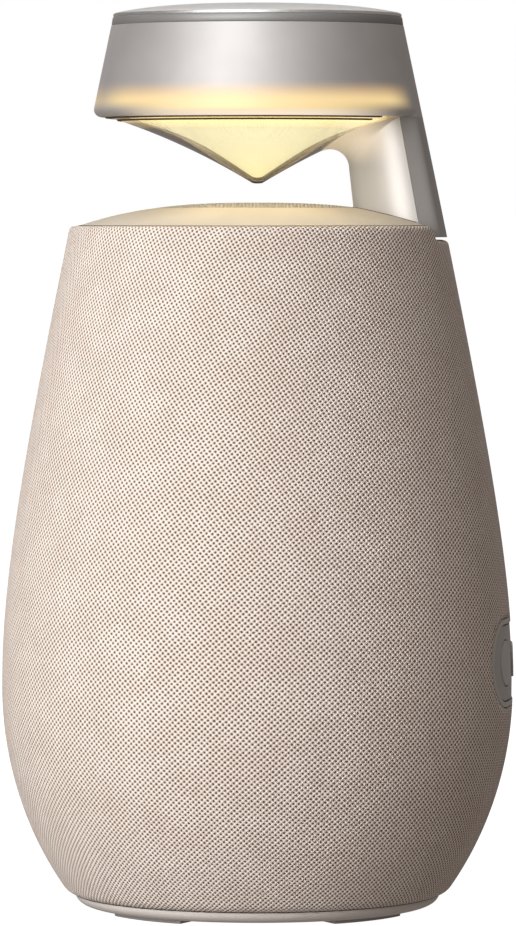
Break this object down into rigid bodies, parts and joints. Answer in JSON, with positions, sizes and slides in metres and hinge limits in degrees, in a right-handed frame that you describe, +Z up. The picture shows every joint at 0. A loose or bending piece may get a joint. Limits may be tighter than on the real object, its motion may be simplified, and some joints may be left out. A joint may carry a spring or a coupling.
{
  "type": "smart speaker",
  "caption": "Portable lantern speaker: pear-shaped fabric body with an upward woofer, and a one-armed lamp head over it with a clear inverted cone that spreads light and sound.",
  "frame": {"origin": "middle of the footprint, on the surface the foot pads rest on", "axes": "+Z up, +X towards the arm and the control panel, -Y towards the side radiator called front"},
  "size_m": [0.1372, 0.137, 0.2422],
  "materials": {
    "fabric": "open mesh knit",
    "cream_plastic": "satin",
    "gray_plastic": "satin",
    "dark_plastic": "matt",
    "pearl_plastic": "pearl satin",
    "satin_metal": "satin",
    "clear_plastic": "polished",
    "lit_diffuser": "milky, lit warm",
    "smoked_shell": "satin translucent",
    "rubber": "matt",
    "steel": "zinc plated",
    "ferrite": "sintered ferrite",
    "paper_cone": "pressed fibre",
    "spider_cloth": "resin-set cloth",
    "copper": "enamelled wire",
    "circuit_board": "solder mask",
    "battery_wrap": "shrink film"
  },
  "bodies": {
    "root": {"fabric_sleeve": "fabric", "cabinet_upper": "dark_plastic", "cabinet_lower": "dark_plastic", "cabinet_gasket": "rubber", "base_ring": "gray_plastic", "bottom_cover": "gray_plastic", "foot_1": "rubber", "foot_2": "rubber", "foot_3": "rubber", "foot_4": "rubber", "base_screws": "steel", "battery_holder": "dark_plastic", "battery_cells": "battery_wrap", "main_board": "circuit_board", "board_parts": "dark_plastic", "heat_sink": "satin_metal", "board_screws": "steel", "baffle_screws": "steel", "top_plate": "cream_plastic", "top_grille": "cream_plastic", "woofer_basket": "steel", "woofer_front_washer": "steel", "woofer_magnet": "ferrite", "woofer_yoke": "steel", "woofer_spider": "spider_cloth", "woofer_surround": "rubber", "radiator_frame_front": "dark_plastic", "radiator_surround_front": "rubber", "radiator_frame_back": "dark_plastic", "radiator_surround_back": "rubber", "panel_bezel": "gray_plastic", "control_panel": "gray_plastic", "usb_socket": "steel", "key_board": "circuit_board", "key_switches": "dark_plastic", "arm_outer": "gray_plastic", "arm_inner": "pearl_plastic", "arm_bracket": "steel", "arm_screws": "steel", "lamp_cable": "rubber", "head_shell": "smoked_shell", "head_trim": "gray_plastic", "head_cap": "satin_metal", "head_chassis": "cream_plastic", "chassis_screws": "steel", "led_board": "circuit_board", "led_chips": "lit_diffuser", "light_guide": "lit_diffuser", "reflector_cone": "clear_plastic", "cone_diffuser": "lit_diffuser", "touch_board": "circuit_board"},
    "woofer_moving": {"woofer_cone": "paper_cone", "voice_coil": "copper"},
    "radiator_front_moving": {"radiator_front": "satin_metal"},
    "radiator_back_moving": {"radiator_back": "satin_metal"},
    "power_key_body": {"power_key": "gray_plastic"},
    "pairing_key_body": {"pairing_key": "gray_plastic"},
    "port_cover_body": {"port_cover": "rubber"}
  },
  "joints": [
    {"name": "woofer_travel", "type": "slide", "parent": "root", "child": "woofer_moving", "axis": [0, 0, 1], "range_m": [-0.002, 0.002], "stiffness_N_per_m": 1500, "deforming": ["woofer_surround", "woofer_spider"]},
    {"name": "radiator_front_travel", "type": "slide", "parent": "root", "child": "radiator_front_moving", "axis": [0, -1, 0], "range_m": [-0.0025, 0.0025], "stiffness_N_per_m": 1000, "deforming": ["radiator_surround_front"]},
    {"name": "radiator_back_travel", "type": "slide", "parent": "root", "child": "radiator_back_moving", "axis": [0, 1, 0], "range_m": [-0.0025, 0.0025], "stiffness_N_per_m": 1000, "deforming": ["radiator_surround_back"]},
    {"name": "power_key_press", "type": "slide", "parent": "root", "child": "power_key_body", "axis": [-1, 0, 0], "range_m": [0, 0.0006], "stiffness_N_per_m": 800},
    {"name": "pairing_key_press", "type": "slide", "parent": "root", "child": "pairing_key_body", "axis": [-1, 0, 0], "range_m": [0, 0.0006], "stiffness_N_per_m": 800},
    {"name": "port_cover_hinge", "type": "hinge", "parent": "root", "child": "port_cover_body", "pos_m": [0.0684, 0, 0.0624], "axis": [0, 1, 0], "range_deg": [0, 100]}
  ]
}
